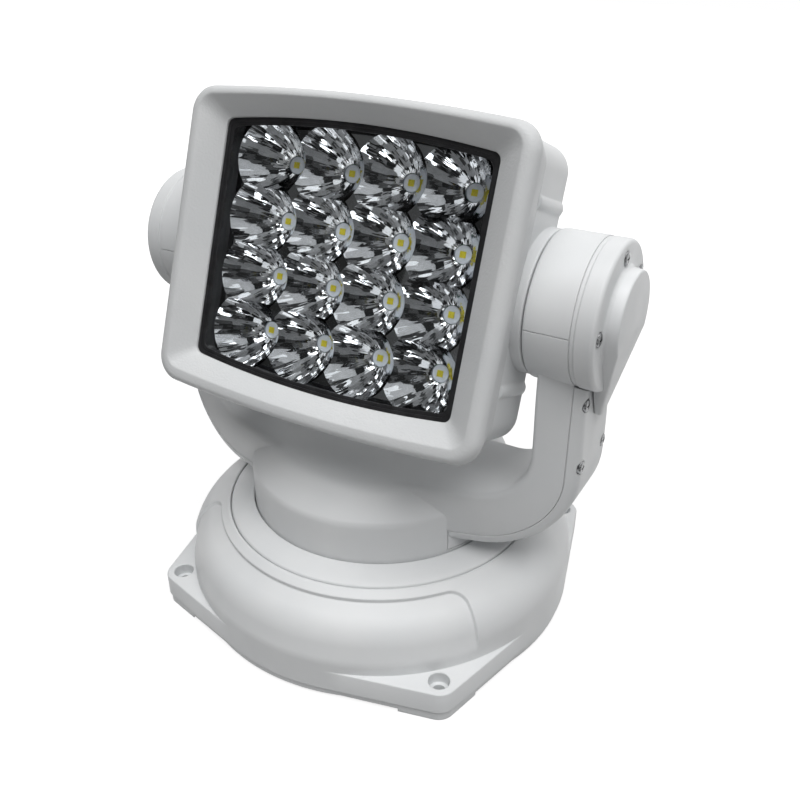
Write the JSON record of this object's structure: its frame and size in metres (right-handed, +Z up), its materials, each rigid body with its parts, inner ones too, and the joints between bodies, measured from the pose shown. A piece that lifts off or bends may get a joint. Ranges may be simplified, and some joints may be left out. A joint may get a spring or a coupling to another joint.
{
  "type": "marine searchlight",
  "caption": "Motorised deck searchlight: domed base with bolt lugs, panning yoke with side drums, tilting framed head with a grid of LED reflector cups.",
  "frame": {"origin": "middle of the base's underside, on the deck, on the pan axis", "axes": "+Z up along the pan axis, the light faces -Y, +X along the tilt axis"},
  "size_m": [0.2128, 0.1768, 0.2232],
  "materials": {
    "white_housing": "satin moulded",
    "white_bezel": "fine pebble",
    "black_seal": "matte",
    "lens_clear": "clear",
    "mirror_cups": "bright",
    "board": "solder mask",
    "led_white": "ceramic",
    "led_phosphor": "clear coat",
    "cast_alloy": "powder coated",
    "stainless": "turned",
    "bronze": "turned",
    "motor_can": "plated"
  },
  "bodies": {
    "base": {"base_housing": "white_housing", "base_plate": "white_housing", "base_seal": "black_seal", "base_screws": "stainless", "retaining_ring": "white_housing", "pan_bush": "bronze", "pan_motor": "motor_can", "control_board": "board", "cable_grommet": "black_seal"},
    "pan_drive": {"pan_pinion": "bronze"},
    "yoke": {"yoke_body": "white_housing", "drum_shell_left": "white_housing", "drum_shell_right": "white_housing", "arm_cover_left": "white_housing", "arm_cover_right": "white_housing", "end_cap_left": "white_housing", "end_cap_right": "white_housing", "cover_screws": "stainless", "pan_spindle": "stainless", "pan_gear": "cast_alloy", "spindle_clip": "stainless", "tilt_bush_left": "bronze", "tilt_bush_right": "bronze", "motor_bracket": "stainless", "tilt_motor": "motor_can"},
    "tilt_drive": {"tilt_pinion": "bronze"},
    "head": {"bezel": "white_bezel", "lens": "lens_clear", "lens_gasket": "black_seal", "reflector": "mirror_cups", "led_board": "board", "led_packages": "led_white", "led_dies": "led_phosphor", "head_housing": "white_housing", "heat_sink": "cast_alloy", "trunnion_left": "stainless", "trunnion_right": "stainless", "tilt_gear": "cast_alloy", "retaining_collar": "stainless", "trunnion_seals": "black_seal", "head_screws": "stainless"}
  },
  "joints": [
    {"name": "pan", "type": "hinge", "parent": "base", "child": "yoke", "pos_m": [0, 0, 0.05], "axis": [0, 0, 1], "range_deg": [-185, 185]},
    {"name": "pan_drive_spin", "type": "hinge", "parent": "base", "child": "pan_drive", "pos_m": [0, 0.045, 0.014], "axis": [0, 0, 1], "range_deg": [-745, 745]},
    {"name": "tilt", "type": "hinge", "parent": "yoke", "child": "head", "pos_m": [0, 0, 0.1527], "axis": [-1, 0, 0], "range_deg": [-65, 69]},
    {"name": "tilt_drive_spin", "type": "hinge", "parent": "yoke", "child": "tilt_drive", "pos_m": [-0.08, 0.01273, 0.13997], "axis": [-1, 0, 0], "range_deg": [-165, 165]}
  ],
  "couplings": [
    {"joint": "pan_drive_spin", "follows": "pan", "ratio": -4},
    {"joint": "tilt_drive_spin", "follows": "tilt", "ratio": -2.3333}
  ]
}
